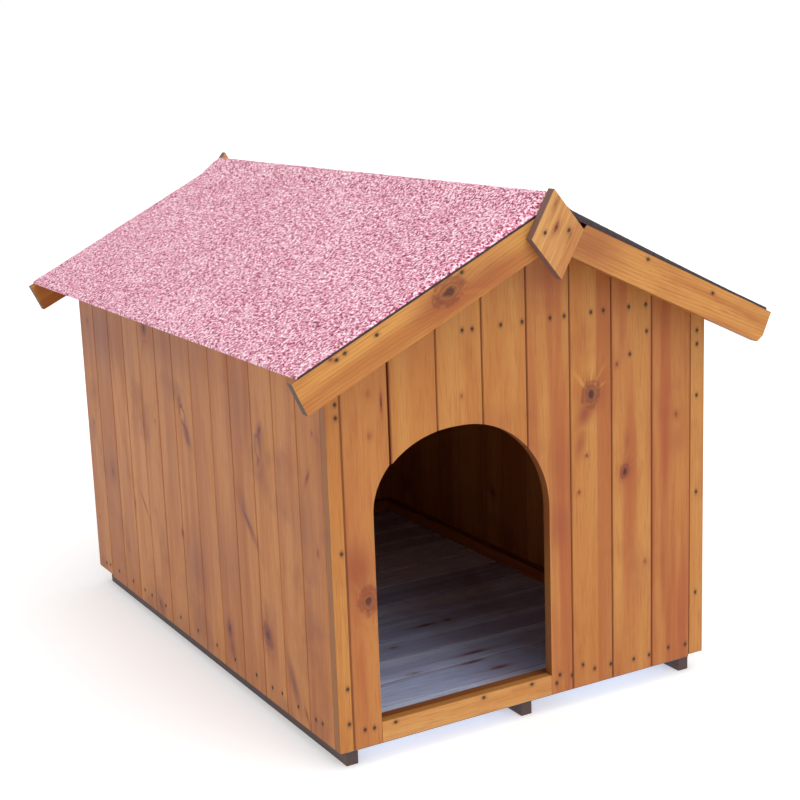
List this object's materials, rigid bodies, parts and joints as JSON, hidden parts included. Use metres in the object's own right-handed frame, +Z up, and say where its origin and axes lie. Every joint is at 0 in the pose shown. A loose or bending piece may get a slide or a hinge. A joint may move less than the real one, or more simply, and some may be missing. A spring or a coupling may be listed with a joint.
{
  "type": "wooden kennel",
  "caption": "Gabled wooden pet house with an arched doorway off centre, boarded walls, pink mineral felt on a lift-off roof, barge boards with lozenge finials, and runners under the floor",
  "frame": {"origin": "on the ground, under the middle of the whole outline", "axes": "+X is right seen from the front, +Y is from the doorway to the rear, +Z is up"},
  "size_m": [0.9416, 1.3316, 0.9337],
  "materials": {
    "wall_wood": "satin",
    "trim_wood": "satin",
    "inner_wood": "matte",
    "runner_wood": "matte",
    "mineral_felt": "matte",
    "nail_steel": "satin"
  },
  "bodies": {
    "house": {"front_board_1": "wall_wood", "front_board_2": "wall_wood", "front_board_3": "wall_wood", "front_board_4": "wall_wood", "front_board_5": "wall_wood", "front_board_6": "wall_wood", "front_board_7": "wall_wood", "front_board_8": "wall_wood", "front_strip_left": "wall_wood", "front_strip_right": "wall_wood", "door_sill": "wall_wood", "left_board_1": "wall_wood", "left_board_2": "wall_wood", "left_board_3": "wall_wood", "left_board_4": "wall_wood", "left_board_5": "wall_wood", "left_board_6": "wall_wood", "left_board_7": "wall_wood", "left_board_8": "wall_wood", "left_board_9": "wall_wood", "left_board_10": "wall_wood", "left_board_11": "wall_wood", "left_board_12": "wall_wood", "left_board_13": "wall_wood", "right_wall_boards": "wall_wood", "rear_wall_boards": "wall_wood", "floor_boards": "inner_wood", "runner_left": "runner_wood", "runner_middle": "runner_wood", "runner_right": "runner_wood", "bottom_rail_front": "inner_wood", "bottom_rail_rear": "inner_wood", "bottom_rail_left": "inner_wood", "bottom_rail_right": "inner_wood", "top_rail_front": "inner_wood", "top_rail_rear": "inner_wood", "top_rail_left": "inner_wood", "top_rail_right": "inner_wood", "front_wall_nails": "nail_steel", "strip_nails": "nail_steel", "sill_nails": "nail_steel", "left_wall_nails": "nail_steel", "right_wall_nails": "nail_steel", "rear_wall_nails": "nail_steel"},
    "roof": {"roof_boards_left": "inner_wood", "roof_boards_right": "inner_wood", "roof_felt": "mineral_felt", "barge_front_left": "trim_wood", "barge_front_right": "trim_wood", "barge_rear_left": "trim_wood", "barge_rear_right": "trim_wood", "finial_front": "trim_wood", "finial_rear": "trim_wood", "roof_batten_front_left": "inner_wood", "roof_batten_front_right": "inner_wood", "roof_batten_rear_left": "inner_wood", "roof_batten_rear_right": "inner_wood", "barge_nails": "nail_steel", "finial_nails": "nail_steel"}
  },
  "joints": [
    {"name": "roof_lift", "type": "slide", "parent": "house", "child": "roof", "axis": [0, 0, 1], "range_m": [0, 0.3]}
  ]
}
